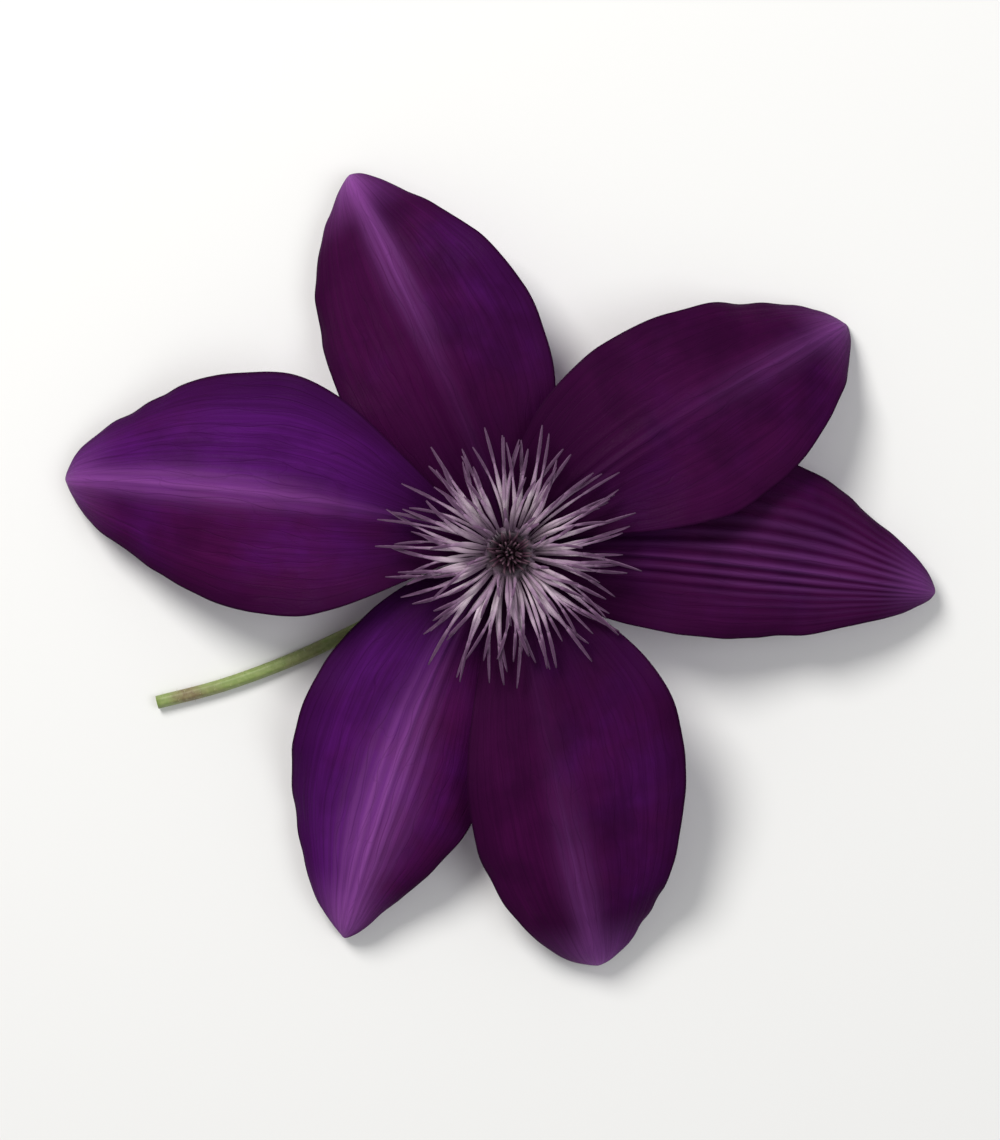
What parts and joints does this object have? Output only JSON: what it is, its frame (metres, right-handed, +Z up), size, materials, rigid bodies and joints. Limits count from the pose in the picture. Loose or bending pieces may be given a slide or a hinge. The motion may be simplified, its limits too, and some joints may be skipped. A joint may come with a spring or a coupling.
{
  "type": "clematis flower",
  "caption": "Large-flowered clematis bloom, picked and laid face up: broad pointed violet petals round a spread of pale stamens, with its stalk bent under it.",
  "frame": {"origin": "on the surface that the flower lies on, under the middle of the flower's outline seen from above", "axes": "+Z up out of the flower's face, +X along its widest spread, to the right with the flower seen as in the picture, +Y towards the picture's top"},
  "size_m": [0.1438, 0.131, 0.0247],
  "materials": {
    "petal": "satin",
    "stamen": "matte",
    "style": "matte",
    "stalk": "satin"
  },
  "bodies": {
    "root": {"petal_1": "petal", "petal_2": "petal", "petal_3": "petal", "petal_4": "petal", "petal_5": "petal", "petal_6": "petal", "stamens": "stamen", "styles": "style", "stalk": "stalk"}
  },
  "joints": []
}
